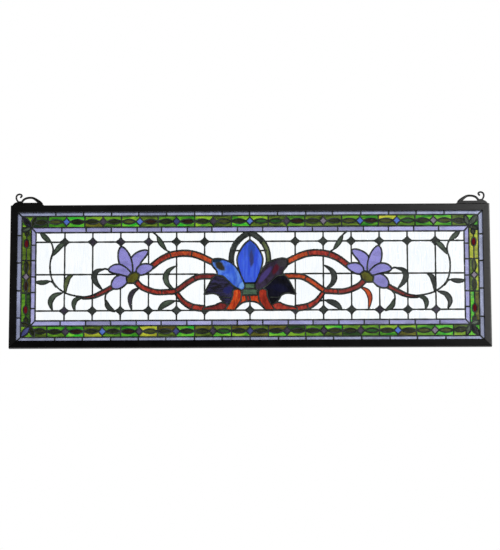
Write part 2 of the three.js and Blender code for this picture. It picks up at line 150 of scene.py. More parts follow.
SKY_BLUE = glass((56, 100, 222), (110, 162, 250))
PURPLE = glass((46, 37, 48), (68, 56, 84))
KNOT_GREEN = glass((60, 86, 70), (94, 126, 100))
NAVY = glass((31, 29, 30), (64, 60, 104))
SMOKE = glass((54, 51, 60), (80, 76, 92))
BLACK_NAVY = glass((4, 4, 9), (10, 11, 34))
ORANGE = glass((190, 44, 22), (240, 108, 40))
EMBER = glass((150, 40, 30), (206, 66, 34))
CLEAR = (0.95, 0.965, 0.99) * 2


# Drawing


def through(points, steps):
    """A smooth run through a few points: a cubic in each span whose end slopes are half the
    step from the point before to the point after."""
    given = np.asarray(points, float)
    last = len(given) - 1
    along = np.linspace(0, last, steps + 1)
    index = np.minimum(along.astype(int), last - 1)
    share = (along - index)[:, None]
    before = given[np.maximum(index - 1, 0)]
    start = given[index]
    end = given[index + 1]
    after = given[np.minimum(index + 2, last)]
    leave = (end - before) / 2
    arrive = (after - start) / 2
    cubic = 2 * start - 2 * end + leave + arrive
    square = 3 * end - 3 * start - 2 * leave - arrive
    return cubic * share ** 3 + square * share ** 2 + leave * share + start


def headings(run):
    """The direction of a run at each point, that of the chord between its neighbours, and the
    direction across it."""
    before = run[np.maximum(np.arange(len(run)) - 1, 0)]
    after = run[np.minimum(np.arange(len(run)) + 1, len(run) - 1)]
    along = after - before
    along /= np.linalg.norm(along, axis=1)[:, None]
    return along, crosswise(along)


def crosswise(along):
    """Directions turned a quarter to their left."""
    return np.stack([-along[:, 1], along[:, 0]], 1)


def sideways(run, push):
    """Each point of a run moved across its heading by its own push."""
    return run + headings(run)[1] * np.broadcast_to(push, len(run))[:, None]


def blade(points, width, steps=22, peak=0.5, fullness=0.85):
    """A leaf or petal: half its width is the sine of the way along its spine, to a power."""
    spine = through(points, steps)
    share = np.linspace(0, 1, steps + 1)
    skew = math.log(0.5) / math.log(peak)
    swell = width / 2 * np.clip(np.sin(np.pi * share ** skew), 0, 1) ** fullness
    left = sideways(spine, swell)
    right = sideways(spine, -swell)
    return np.concatenate([left, right[-2:0:-1]])


def band(points, widths, steps=48):
    """A vine or hoop: both edges of a smooth run whose width goes evenly through the given ones."""
    spine = through(points, steps)
    places = np.linspace(0, 1, len(widths))
    half = np.interp(np.linspace(0, 1, steps + 1), places, widths) / 2
    return sideways(spine, half), sideways(spine, -half)


def smooth(runs, steps=6):
    """A closed outline from runs that meet end to end, each smooth in itself."""
    parts = []
    for run in runs:
        curved = len(run) > 2
        drawn = through(run, steps * (len(run) - 1)) if curved else np.array(run, float)
        parts.append(drawn[:-1])
    return np.concatenate(parts)


def diamond(x, z, reach_x, reach_z, pinch=0.5):
    """Four points, and between them four more that pull the sides in when pinch is under a half."""
    tips = np.array([[-1, 0], [0, -1], [1, 0], [0, 1]], float)
    waists = (tips + np.roll(tips, -1, axis=0)) * pinch
    corners = np.stack([tips, waists], 1).reshape(-1, 2)
    return corners * (reach_x, reach_z) + (x, z)


def oval(x, z, reach_x, reach_z, sides=20):
    turn = np.arange(sides) * 2 * np.pi / sides
    return np.stack([x + reach_x * np.cos(turn), z + reach_z * np.sin(turn)], 1)


def lens(start, end, height, steps=14):
    """Two arcs from tip to tip: half the height is a parabola along the chord."""
    spine = np.linspace(start, end, steps + 1)
    share = np.linspace(-1, 1, steps + 1)
    arch = height / 2 * (1 - share ** 2)
    return np.concatenate([sideways(spine, arch), sideways(spine, -arch)[-2:0:-1]])


def rectangle(reach):
    return np.array([[-1, -1], [1, -1], [1, 1], [-1, 1]]) * reach


def place(side, points):
    """Points of the drawn field, mirrored to one side and spread to the real field."""
    return np.asarray(points, float) * SPREAD * (side, 1)


def inside(outline, points):
    """Whether each point is inside a closed outline: an odd count of edges passes to its right."""
    found = np.zeros(len(points), bool)
    low = outline.min(0)
    high = outline.max(0)
    near = np.flatnonzero(np.all((points >= low) & (points <= high), axis=1))
    if not len(near):
        return found
    x, z = points[near].T
    ahead = np.roll(outline, -1, axis=0)
    rises = (outline[:, 1, None] > z) != (ahead[:, 1, None] > z)
    level = ahead[:, 1] == outline[:, 1]
    slope = (ahead[:, 0] - outline[:, 0]) / np.where(level, 1, ahead[:, 1] - outline[:, 1])
    crossing = outline[:, 0, None] + (z - outline[:, 1, None]) * slope[:, None]
    found[near] = np.sum(rises & (x < crossing), axis=0) % 2 == 1
    return found


class Cartoon:
    """The full-size drawing: shapes laid one over another, and the lead lines that part them.
    A line shows where no shape that is laid after it covers it."""

    def __init__(self):
        self.shapes = []
        self.lines = []

    def lay(self, piece, outline, stains, lead=LEAD):
        """Lay a shape of one piece. Its panes choose from its stains, or from what its rule gives
        for the pane's middle."""
        self.shapes.append((piece, np.asarray(outline, float), stains))
        closed = np.concatenate([outline, outline[:1]])
        self.line(closed, lead)

    def lay_band(self, piece, edges, stains, joints=()):
        """Lay a band by its two edges, with leads across it at the given places along X."""
        left, right = edges
        self.lay(piece, np.concatenate([left, right[::-1]]), stains)
        for x in joints:
            nearest = int(np.argmin(np.abs((left + right)[:, 0] / 2 - x)))
            self.line([left[nearest], right[nearest]])

    def line(self, points, width=FINE_LEAD):
        self.lines.append((np.asarray(points, float), width, len(self.shapes) - 1))

    def top_shape(self, points):
        top = np.full(len(points), -1)
        for index, (_, outline, _) in enumerate(self.shapes):
            top[inside(outline, points)] = index
        return top

    def visible_runs(self):
        """Every stretch of line that no later shape covers, cut every half millimetre or so."""
        for points, width, rank in self.lines:
            fine = dense(points, 0.6)
            middles = (fine[:-1] + fine[1:]) / 2
            hidden = np.zeros(len(middles), bool)
            for _, outline, _ in self.shapes[rank + 1:]:
                hidden |= inside(outline, middles)
            edges = np.flatnonzero(np.diff(np.concatenate([[1], hidden, [1]])))
            for start, end in edges.reshape(-1, 2):
                yield straightened(fine[start:end + 1]), width


def dense(run, step):
    """A run with extra points, so that none of its spans is longer than a step."""
    lengths = np.linalg.norm(np.diff(run, axis=0), axis=1)
    counts = np.maximum(np.ceil(lengths / step).astype(int), 1)
    spans = [a + (b - a) * np.linspace(0, 1, count, endpoint=False)[:, None]
             for a, b, count in zip(run[:-1], run[1:], counts)]
    return np.concatenate(spans + [run[-1:]])


def straightened(run):
    """A run without the points that lie on the straight line between their neighbours."""
    if len(run) < 3:
        return run
    step = np.diff(run, axis=0)
    step /= np.linalg.norm(step, axis=1)[:, None]
    bend = np.abs(step[:-1, 0] * step[1:, 1] - step[:-1, 1] * step[1:, 0])
    keep = np.concatenate([[True], bend > 0.004, [True]])
    return run[keep]


SIDES = (("left", -1), ("right", 1))


def even(count, pitch):
    """Evenly spaced places about the middle."""
    return (np.arange(count) - (count - 1) / 2) * pitch


# Border


def violet_joints(cartoon, near, far, pitch, counts):
    """The joints of one row of violet tiles: across its four sides, and mitred at the corners."""
    for side in (-1, 1):
        for x in even(counts[0], pitch[0]) + RANDOM.normal(0, 0.5, counts[0]):
            cartoon.line([[x, side * near[1]], [x, side * far[1]]], BORDER_LEAD)
        for z in even(counts[1], pitch[1]) + RANDOM.normal(0, 0.5, counts[1]):
            cartoon.line([[side * near[0], z], [side * far[0], z]], BORDER_LEAD)
        for up in (-1, 1):
            cartoon.line([[side * near[0], up * near[1]], [side * far[0], up * far[1]]], BORDER_LEAD)


GREENS = (
    (MOSS, MOSS, OLIVE, YELLOW), (LEAF_GREEN, MOSS), (BRIGHT_GREEN, LIME, GRASS), (OLIVE, MOSS, BRIGHT_GREEN),
    (LEAF_GREEN, GRASS), (MOSS, LIME), (BOTTLE, OLIVE, LIME), (BRIGHT_GREEN, GRASS), (MOSS, YELLOW, MOSS),
    (GRASS, LEAF_GREEN),
)
CORNER_GREENS = (BRIGHT_GREEN, LEAF_GREEN, GRASS, LIME)
LEFT_GREENS = (MOSS, BOTTLE, GRASS, LEAF_GREEN, OLIVE)
EYES = (EYE_DARK, EYE_OLIVE, EYE_DARK, EYE_GREEN, EYE_OLIVE, EYE_DARK, EYE_DARK, EYE_RED)
# The colours of the small diamonds, from left to right, on the upper row and on the lower one
DIAMONDS = {1: (BLUE, PLUM, BLUE, INDIGO, PLUM, BLUE, PLUM, MAUVE, BLUE, BLUE, MAUVE),
            -1: (PLUM, BLUE, PLUM, INDIGO, PLUM, INDIGO, PLUM, PLUM, PLUM, BLUE, MAUVE)}
CORNERS = {(-1, 1): NAVY, (1, 1): CHARCOAL_GREEN, (-1, -1): INDIGO, (1, -1): BLACK_NAVY}


def green_of(middle):
    """The greens of a border tile: bright at the corners, dull up the left side, and elsewhere each
    pair of tiles keeps to one family."""
    x, z = middle
    if abs(x) > GREEN_LINE[0] - 5 and abs(z) > GREEN_LINE[1] - 4:
        return CORNER_GREENS
    if abs(z) < GREEN_LINE[1] and x < 0:
        return LEFT_GREENS
    if abs(z) > GREEN_LINE[1]:
        along = x / (DIAMOND_PITCH / 2)
    else:
        along = z / JEWEL_PITCH * 2 + 40 * np.sign(x)
    unit = int(math.floor(along)) + (17 if z > 0 else 0)
    return GREENS[(unit * 3 + unit // 4) % len(GREENS)]


def green_band(cartoon):
    """Green tiles round a chain of dark eyes and small diamonds, with jewels on the uprights."""
    middle = (OUTER_LINE + GREEN_LINE) / 2
    half = DIAMOND_PITCH / 2

    def lay(piece, outline, *stains):
        cartoon.lay(piece, outline, stains, BORDER_LEAD)

    for side in (-1, 1):
        z = side * middle[1]
        for x in even(12, DIAMOND_PITCH):
            cartoon.line([[x, side * GREEN_LINE[1]], [x, side * OUTER_LINE[1]]], BORDER_LEAD)
        for x, stain in zip(even(11, DIAMOND_PITCH), DIAMONDS[side]):
            cartoon.line([[x, side * GREEN_LINE[1]], [x, side * OUTER_LINE[1]]], BORDER_LEAD)
            for way in (-1, 1):
                lay("ribbon_eyes", lens([x + way * EYE_GAP, z], [x + way * half, z], EYE_HEIGHT), *EYES)
            lay("ribbon_diamonds", diamond(x, z, DIAMOND_REACH, DIAMOND_REACH), stain)
        for way in (-1, 1):
            far = 5.5 * DIAMOND_PITCH
            tip = [way * (GREEN_LINE[0] - 4), z - side * 2]
            lay("ribbon_eyes", lens([way * far, z], tip, CORNER_EYE), EYE_DARK)
        x = side * middle[0]
        for level in UPRIGHT_JOINTS:
            cartoon.line([[side * GREEN_LINE[0], level], [side * OUTER_LINE[0], level]], BORDER_LEAD)
        cartoon.line([[x, -GREEN_LINE[1] - 4], [x, GREEN_LINE[1] + 4]], BORDER_LEAD)
        for way in (-1, 1):
            lay("ribbon_eyes", lens([x, way * 5], [x, way * 29], UPRIGHT_EYE), *EYES)
            tip = [x - side * 2, way * (GREEN_LINE[1] - 4)]
            lay("ribbon_eyes", lens([x, way * 72], tip, UPRIGHT_EYE), EYE_DARK)
            lay("ribbon_jewels", oval(x, way * JEWEL_PITCH, *JEWEL_REACH), EYE_RED)
        lay("ribbon_diamonds", diamond(x, 0, *UPRIGHT_DIAMOND), MAUVE)
        for up in (-1, 1):
            corner = np.array([side, up])
            for tip in ([GREEN_LINE[0] - 7, OUTER_LINE[1]], [OUTER_LINE[0], GREEN_LINE[1] - 6]):
                fan_leaf = lens(corner * GREEN_LINE, corner * tip, FAN_LEAF)
                lay("ribbon_eyes", fan_leaf, EYE_DARK, CHARCOAL_GREEN)
            leaf = lens(corner * OUTER_LINE, corner * GREEN_LINE, CORNER_LEAF)
            lay("corner_leaves", leaf, CORNERS[(side, up)])


# Field


def grid(cartoon):
    """Fine uprights, a fine middle line, an upper and a lower line, and diamonds where they cross."""
    cartoon.line([[-FIELD[0], LOWER_LINE], [FIELD[0], LOWER_LINE]])
    for _, side in SIDES:
        cartoon.line(place(side, [[24, UPPER_LINE], [DRAWN_FIELD[0], UPPER_LINE]]))
        cartoon.line(place(side, [[GRID_START + 12, MIDDLE_LINE], [DRAWN_FIELD[0], MIDDLE_LINE]]))
        for x in GRID_START + GRID_PITCH * np.arange(6):
            cartoon.line(place(side, [[x, -DRAWN_FIELD[1]], [x, DRAWN_FIELD[1]]]))
    cartoon.line([[0, FIELD[1]], [0, 60]])
    cartoon.line([[0, -44], [0, -FIELD[1]]])
    crossings = [(0, LOWER_LINE)]
    for x in GRID_START + GRID_PITCH * np.arange(6):
        crossings += [(way * x, z) for way in (-1, 1) for z in (UPPER_LINE, LOWER_LINE)]
    for x, z in crossings:
        plate = diamond(x * SPREAD[0], z * SPREAD[1], GRID_DIAMOND, GRID_DIAMOND, GRID_PINCH)
        cartoon.lay("grid_diamonds", plate, (CHARCOAL, CHARCOAL, CHARCOAL, SMOKE), DIAMOND_LEAD)


DARK = (CHARCOAL, CHARCOAL_GREEN)
BOTH_DARK = (DARK, DARK)
LEAVES = (
    ([[367, 79], [358, 70], [348, 61]], 8, BOTH_DARK),
    ([[323, 60], [333, 53], [345, 37]], 8, (DARK, (CHARCOAL_GREEN,))),
    ([[375, -9.5], [362, -10.5], [349, -8]], 7, BOTH_DARK),
    ([[308, 4], [317, -3], [321, -15], [322, -31]], 8, ((LEAF_OLIVE,), DARK)),
    ([[327, -29], [341, -34], [348, -46], [344, -60]], 8.5, BOTH_DARK),
    ([[291, -37], [303, -41], [307, -50], [305, -61]], 7.5, BOTH_DARK),
    ([[254, 13], [267, 9.5], [272, -1], [267, -13], [257, -24]], 9, BOTH_DARK),
    ([[251, -42], [247, -54], [235, -63]], 7.5, (DARK, (CHARCOAL_GREEN,))),
    ([[193, -21], [204, -28], [209, -41], [206, -61]], 8, ((SMOKE,), (VINE_ORANGE,))),
    ([[160, -61], [148, -50], [131, -44]], 9.5, ((CHARCOAL_GREEN,), DARK)),
    ([[130, 18], [142, 9.5], [147, -2], [143, -15], [130, -26]], 9, ((CHARCOAL_GREEN, GREY_GREEN), DARK)),
    ([[162, 72], [156, 60], [146, 46]], 7.5, BOTH_DARK),
)
STEMS = (
    [[348, 62], [344, 47], [349, 24], [347, 0], [338, -17], [322, -29], [304, -34.5], [284, -37]],
    [[351, -8], [345, -10], [339, -18]],
    [[257, 13], [252, 13.5], [245, 11]],
    [[239, -21], [251, -32], [252, -46]],
    [[134, -44], [126, -44.5], [117, -46]],
    [[170, 79], [164, 74], [160, 69]],
    [[148, 49], [144, 45], [136, 41]],
)
VINES = (
    ("tail_vine", (7.5, 6.5, 2.6), [[236, -17], [256, -28], [274, -36], [292, -38.5]],
     (VINE_RED, VINE_BRICK), (269,)),
    ("lower_vine", (5.5, 9.5, 9.5), [[129, -28], [117, -44.4], [103.5, -53.5], [92.5, -56.4], [79, -58]],
     (VINE_ORANGE, VINE_RED), (101,)),
    ("middle_vine", (8.5, 8, 8.4), [[200, -8], [188, -19.5], [165, -28], [142, -28], [128, -25.6], [106, -10],
                                    [88, -1.5], [60, -1]],
     (VINE_ORANGE, VINE_BRICK, VINE_RED), (155, 128, 97)),
    ("upper_vine", (8.5, 10, 10, 9.5), [[173, 16], [154.8, 30], [138.5, 37.5], [121, 40.5], [103.6, 40],
                                        [86.5, 35], [60, 22]],
     (VINE_RED, VINE_ORANGE), (139, 102)),
)
PETALS = (
    ([[200, 4], [198.5, 29], [178, 45.6]], 19, 0.5),
    ([[208, 2], [218, 28], [225, 53]], 22, 0.5),
    ([[208, -1], [226, -8.5], [240, -21]], 22, 0.55),
    ([[205, 0], [228, 12.5], [247, 11]], 17.5, 0.52),
    ([[197, 4], [186, 12.5], [168.5, 17]], 18.5, 0.48),
)
PETAL_NODES = ("petal_inner_top", "petal_outer_top", "petal_outer_low", "petal_outer_side",
               "petal_inner_side")
CALYX = [[215.5, -3], [208, 4.7], [199, 8], [192.5, 3], [195, -6.4], [203, -12.3], [214, -12.3]]


def foliage(cartoon):
    for _, side in SIDES:
        for points in STEMS:
            cartoon.line(through(place(side, points), 8 * (len(points) - 1)), STEM_LEAD)
        for spine, width, stains in LEAVES:
            own = stains[0 if side < 0 else 1]
            cartoon.lay("leaf_panes", blade(place(side, spine), width, fullness=1.0), own, LEAF_LEAD)


def vines_and_flowers(cartoon):
    for word, side in SIDES:
        for name, widths, points, stains, joints in VINES:
            across = [side * joint for joint in joints]
            cartoon.lay_band(f"{name}_{word}_panes", band(place(side, points), widths), stains, across)
        for spine, width, peak in PETALS:
            petal = blade(place(side, spine), width, peak=peak, fullness=0.75)
            cartoon.lay(f"flower_petals_{word}", petal, (VIOLET_PETAL,))
        cartoon.lay(f"calyx_{word}_pane", place(side, CALYX), (OLIVE,))


INNER_SCROLL = (
    [[82, -61], [80, -56.5], [61, -52], [49.6, -47.4], [34, -52]],
    [[34, -52], [34, -61]],
    [[34, -61], [82, -61]],
)
LOWER_PETAL = (
    [[20, -6], [50, 2], [62, -1], [68, -9], [80, -33]],
    [[80, -33], [65, -31], [55, -34.5], [50, -42.3], [40, -51]],
    [[40, -51], [20, -44]],
    [[20, -44], [20, -6]],
)
HOOP = [[-1, 78], [12, 70.5], [23.5, 59], [30.2, 45], [32.4, 28], [30, 14]]
SIDE_PETAL = (
    [[8, -18], [11, -10], [19.3, 8.5], [30.3, 21.5], [42.4, 28], [55, 31], [65.6, 29.5]],
    [[65.6, 29.5], [65.6, 19], [58.3, 9.2], [57, 1]],
    [[57, 1], [46.8, -1], [38, -9], [30, -17], [21, -23], [11, -28]],
    [[11, -28], [8, -18]],
)
LEG = (
    [[22, -23], [29, -26], [30.3, -36], [35.3, -48], [44, -61]],
    [[44, -61], [27, -61]],
    [[27, -61], [17.2, -46], [15, -37], [15.8, -26], [22, -23]],
)
PETAL_BREAK = -38.5
FOOT_HALF = [[0, -45.4], [9, -46.5], [17, -50.5], [28, -61]]
BUD_HALF = [[0, 64.5], [12, 53.5], [22.3, 31], [17.5, 6], [9.5, -13]]
KNOT_HALF = [[9, -13], [9, -23], [13, -25], [13, -34.5]]
FOOT_JOINTS = (-6.5, 0.5)


def foot_of(middle):
    """Orange on both sides and a dark sliver between."""
    return (MAROON,) if FOOT_JOINTS[0] < middle[0] < FOOT_JOINTS[1] else (ORANGE,)


def centre(cartoon):
    """The bloom: scrolls, dark petals, hoop, side petals, foot and legs, bud and knot."""
    for word, side in SIDES:
        left = side < 0

        def sided(runs):
            return smooth([place(side, run) for run in runs])

        cartoon.lay(f"inner_scroll_{word}_pane", sided(INNER_SCROLL), (MAROON if left else VINE_RED,))
        main, tail = (NAVY, SMOKE) if left else (BLACK_NAVY, CHARCOAL_GREEN)

        def dark_of(middle, main=main, tail=tail):
            return (main,) if middle[1] > PETAL_BREAK else (tail,)

        cartoon.lay(f"lower_petal_{word}_pane", sided(LOWER_PETAL), dark_of)
        cartoon.line(place(side, [[35.5, PETAL_BREAK], [50, PETAL_BREAK]]))

        def hoop_of(middle, lower=CHARCOAL if left else LEAF_OLIVE):
            return (CHARCOAL,) if middle[1] > UPPER_LINE else (lower,)

        edges = [np.minimum(edge, FIELD) for edge in band(place(side, HOOP), (7.4, 7.2, 6.8))]
        cartoon.lay_band(f"hoop_{word}_panes", edges, hoop_of)
        cartoon.line(place(side, [[18.5, 58], [25, 63.5]]))
        cartoon.line(place(side, [[28.6, 23], [36.4, 24]]))
        cartoon.lay(f"side_petal_{word}_pane", sided(SIDE_PETAL), (SKY_BLUE if left else PURPLE,))
    right = through(place(1, FOOT_HALF), 16)
    left = through(place(-1, FOOT_HALF), 16)[::-1]
    crest = place(1, [[36, -61], [26, -30], [-26, -30], [-36, -61]])
    cartoon.lay("foot_panes", np.concatenate([left, right[1:], crest]), foot_of)
    for x in FOOT_JOINTS:
        cartoon.line([[x - 2, -33], [x + 1, -46]], BORDER_LEAD)
    for word, side in SIDES:
        heat = ORANGE if side < 0 else EMBER
        cartoon.lay(f"leg_{word}_pane", smooth([place(side, run) for run in LEG]), (heat,))
    bud = through(place(1, BUD_HALF), 36)
    mirrored = through(place(-1, BUD_HALF), 36)[::-1]
    cartoon.lay("bud_pane", np.concatenate([bud, mirrored[:-1]]), (BUD_BLUE,))
    knot = np.concatenate([place(1, KNOT_HALF), place(-1, KNOT_HALF)[::-1]])
    cartoon.lay("knot_panes", knot, (KNOT_GREEN,))
    cartoon.line(place(1, [[-9, -23], [9, -23]]))
    for _, side in SIDES:
        cartoon.line(place(side, [[18, 45], [29, 45]]))


def draw_cartoon():
    cartoon = Cartoon()
    cartoon.lay("outer_violet_tiles", rectangle(EDGE), (VIOLET_PALE,), 4.0)
    violet_joints(cartoon, EDGE, OUTER_LINE, OUTER_TILE, (15, 4))
    cartoon.lay("green_ribbon_tiles", rectangle(OUTER_LINE), green_of, BORDER_LEAD)
    green_band(cartoon)
    cartoon.lay("inner_violet_tiles", rectangle(GREEN_LINE), (VIOLET,), BORDER_LEAD)
    violet_joints(cartoon, GREEN_LINE, FIELD, INNER_TILE, (16, 5))
    cartoon.lay("clear_panes", rectangle(FIELD), (CLEAR,), BORDER_LEAD)
    grid(cartoon)
    foliage(cartoon)
    vines_and_flowers(cartoon)
    centre(cartoon)
    return cartoon


# Panes and leading from the cartoon


def sides_of(triangles):
    return np.concatenate([triangles[:, [0, 1]], triangles[:, [1, 2]], triangles[:, [2, 0]]])


def cut_panes(cartoon):
    """Cut the drawing along its visible lines. Each pane is a list of triangles on its points."""
    points = []
    edges = []
    ranks = []
    for run, _, rank in cartoon.lines:
        first = len(points)
        closed = np.allclose(run[0], run[-1])
        kept = run[:-1] if closed else run
        points.extend(map(tuple, kept))
        count = len(kept)
        steps = count if closed else count - 1
        edges.extend((first + step, first + (step + 1) % count) for step in range(steps))
        ranks.extend([rank] * steps)
    result = delaunay_2d_cdt([Vector(point) for point in points], edges, [], 0, 1e-4, True)
    places = np.array([tuple(point) for point in result[0]])
    triangles = np.array([face for face in result[2] if len(face) == 3])
    sides = np.sort(sides_of(triangles), axis=1)
    owner = np.tile(np.arange(len(triangles)), 3)
    keys = sides[:, 0] * len(places) + sides[:, 1]
    line_rank = {}
    for (a, b), sources in zip(result[1], result[4]):
        if sources:
            real = [ranks[source] for source in sources if source < len(ranks)]
            if real:
                line_rank[min(a, b) * len(places) + max(a, b)] = max(real)
    top = cartoon.top_shape(places[triangles].mean(1))
    order = np.argsort(keys, kind="stable")
    same = keys[order][1:] == keys[order][:-1]
    one = owner[order][:-1][same]
    other = owner[order][1:][same]
    shared = keys[order][:-1][same]
    rank = np.array([line_rank.get(key, -2) for key in shared])
    open_edge = (rank < np.maximum(top[one], top[other])) & (top[one] == top[other])
    seen = shared[~open_edge]
    labels = np.arange(len(triangles))
    while True:
        least = np.minimum(labels[one[open_edge]], labels[other[open_edge]])
        fresh = labels.copy()
        np.minimum.at(fresh, one[open_edge], least)
        np.minimum.at(fresh, other[open_edge], least)
        fresh = fresh[fresh]
        if np.array_equal(fresh, labels):
            break
        labels = fresh
    ends = np.concatenate([seen // len(places), seen % len(places)])
    degree = np.bincount(ends, minlength=len(places))
    return places, triangles, labels, top, places[degree > 2]


def to_world(flat, depth):
    """Cartoon points and their depths, in millimetres, as points in metres."""
    flat = np.asarray(flat, float)
    depth = np.broadcast_to(depth, len(flat))
    return np.stack([flat[:, 0] * MM, depth * MM, flat[:, 1] * MM + MIDDLE], 1)


def add_mesh(name, points, faces, material, smoothed=False):
    """A mesh object at the origin, with a finish."""
    mesh = bpy.data.meshes.new(name)
    mesh.from_pydata(np.asarray(points).tolist(), [], faces)
    mesh.materials.append(material)
    mesh.polygons.foreach_set("use_smooth", np.full(len(mesh.polygons), smoothed))
    mesh.validate()
    piece = bpy.data.objects.new(name, mesh)
    bpy.context.scene.collection.objects.link(piece)
    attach(piece, "root")
    return piece


def slab(flat, triangles):
    """A pane: its triangles in front and behind, and a wall on each edge that only one has."""
    corners = flat[triangles]
    first = corners[:, 1] - corners[:, 0]
    second = corners[:, 2] - corners[:, 0]
    turn = first[:, 0] * second[:, 1] - first[:, 1] * second[:, 0]
    ordered = np.where(turn[:, None] > 0, triangles, triangles[:, ::-1])
    sides = sides_of(ordered)
    count = len(flat)
    keys = sides[:, 0] * count + sides[:, 1]
    mirrored = sides[:, 1] * count + sides[:, 0]
    rim = sides[~np.isin(keys, mirrored)]
    back = ordered[:, ::-1] + count
    walls = np.stack([rim[:, 1], rim[:, 0], rim[:, 0] + count, rim[:, 1] + count], 1)
    return ordered.tolist() + back.tolist() + walls.tolist()


def joined(parts):
    """Several pairs of points and faces as one pair: faces count on from the points before them."""
    points, faces = [], []
    offset = 0
    for own_points, own_faces in parts:
        points.append(own_points)
        faces.extend([corner + offset for corner in face] for face in own_faces)
        offset += len(own_points)
    return np.concatenate(points), faces


def tube(rings, count):
    """The faces round a tube of rings that have so many points each, and then its two caps."""
    ring = np.arange(rings - 1)[:, None] * count
    corner = np.arange(count)
    ahead = (corner + 1) % count
    quads = np.stack([ring + corner, ring + ahead, ring + count + ahead, ring + count + corner], 2)
    caps = [list(range(count))[::-1], list(range((rings - 1) * count, rings * count))]
    return quads.reshape(-1, 4).tolist() + caps


def make_panes(cartoon, finishes):
    """One piece for each name on the cartoon, with every pane's stain and its own grain."""
    places, triangles, labels, top, joints = cut_panes(cartoon)
    gathered = {}
    for label in np.unique(labels):
        mine = labels == label
        shape = top[mine][0]
        if shape < 0:
            continue
        piece, _, stains = cartoon.shapes[shape]
        used, local = np.unique(triangles[mine], return_inverse=True)
        flat = places[used]
        faces = slab(flat, local.reshape(-1, 3))
        if callable(stains):
            stains = stains((flat.min(0) + flat.max(0)) / 2)
        stain = stains[int(RANDOM.integers(len(stains)))]
        if piece.endswith("violet_tiles"):
            stain = np.array(stain) * RANDOM.uniform(*TILE_SHADES)
        grain = RANDOM.uniform(0, 1, 3)
        points = np.concatenate([to_world(flat, -GLASS / 2), to_world(flat, GLASS / 2)])
        own = {"stain": stain[:3], "wisp": stain[3:], "grain": grain}
        gathered.setdefault(piece, []).append((points, faces, own))
    made = {}
    for piece, panes in gathered.items():
        made[piece] = add_mesh(piece, *joined([pane[:2] for pane in panes]), finishes[piece])
        counts = [len(points) for points, _, _ in panes]
        for attribute in ("stain", "wisp", "grain"):
            rows = np.repeat([[*own[attribute], 1.0] for _, _, own in panes], counts, axis=0)
            layer = made[piece].data.color_attributes.new(attribute, "FLOAT_COLOR", "POINT")
            layer.data.foreach_set("color", rows.astype(np.float32).ravel())
    return made, joints


def bead(run, width, depth, sides=8, widths=1.0):
    """Lead along a run: an oval section carried along it, drawn in and rounded at both ends."""
    along, _ = headings(run)
    reach = width / 2
    spine = np.concatenate([
        run[:1] - along[:1] * reach * 0.8, run[:1] - along[:1] * reach * 0.5,
        run, run[-1:] + along[-1:] * reach * 0.5, run[-1:] + along[-1:] * reach * 0.8])
    along = np.concatenate([along[:1], along[:1], along, along[-1:], along[-1:]])
    size = np.concatenate([[0.45, 0.85], np.ones(len(run)), [0.85, 0.45]])
    swell = np.broadcast_to(widths, len(run))
    swell = np.concatenate([swell[[0, 0]], swell, swell[[-1, -1]]])
    across = crosswise(along)
    turn = np.arange(sides) * 2 * np.pi / sides + np.pi / sides
    flat = spine[:, None] + across[:, None] * ((size * swell)[:, None] * reach * np.cos(turn))[:, :, None]
    deep = size[:, None] * depth / 2 * np.sin(turn)
    return to_world(flat.reshape(-1, 2), deep.ravel()), tube(len(spine), sides)


def dots(spots, reach, depth, around=8, rings=5):
    """A flattened ball of solder at each spot: rings of an ellipsoid and a point at each end."""
    polar = np.pi * np.arange(1, rings) / rings
    turn = 2 * np.pi * np.arange(around) / around
    flat = np.sin(polar)[:, None, None] * np.stack([np.cos(turn), np.sin(turn)], 1) * reach
    deep = np.broadcast_to(-np.cos(polar)[:, None] * depth / 2, (rings - 1, around))
    body = np.concatenate([flat.reshape(-1, 2), [[0, 0], [0, 0]]])
    level = np.concatenate([deep.ravel(), [-depth / 2, depth / 2]])
    faces = tube(rings - 1, around)[:-2]
    last = (rings - 2) * around
    count = len(body)
    for step in range(around):
        ahead = (step + 1) % around
        faces.append([count - 2, ahead, step])
        faces.append([count - 1, last + step, last + ahead])
    return joined([(to_world(body + spot, level), faces) for spot in spots])


def make_leading(cartoon, joints, finish):
    """A bead on each visible line, of a width that wavers as by hand, and solder where lines meet."""
    beads = []
    for run, width in cartoon.visible_runs():
        if np.linalg.norm(run[0] - run[-1]) < SHORTEST_RUN and len(run) < 4:
            continue
        run = dense(run, BEAD_SPAN)
        hand = 1 + WOBBLE * RANDOM.standard_normal(len(run))
        beads.append(bead(run, width, LEAD_DEPTH, widths=hand))
    leading = add_mesh("lead_lines", *joined(beads), finish, True)
    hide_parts("leading")
    rounded = np.unique(np.round(joints / SOLDER_SPACING), axis=0) * SOLDER_SPACING
    nearest = np.array([joints[np.argmin(np.sum((joints - spot) ** 2, axis=1))] for spot in rounded])
    within = np.all(np.abs(nearest) < EDGE - 3, axis=1)
    solder = add_mesh("solder_joints", *dots(nearest[within], SOLDER_REACH, LEAD_DEPTH), finish, True)


# Shader maths


class Wire:
    """A socket that can stand in a sum: an expression on it adds its Math nodes."""

    def __init__(self, shop, socket):
        self.shop = shop
        self.socket = socket

    def math(self, operation, *others):
        return self.shop.node("ShaderNodeMath", {"operation": operation}, dict(enumerate((self, *others))))

    def __add__(self, other):
        return self.math("ADD", other)

    __radd__ = __add__

    def __mul__(self, other):
        return self.math("MULTIPLY", other)

    def __sub__(self, other):
        return self.math("SUBTRACT", other)

    def __rsub__(self, other):
        return self.shop.node("ShaderNodeMath", {"operation": "SUBTRACT"}, {0: other, 1: self})

    def __pow__(self, other):
        return self.math("POWER", other)

    def clamped(self):
        return self.shop.node("ShaderNodeClamp", {}, {"Value": self})


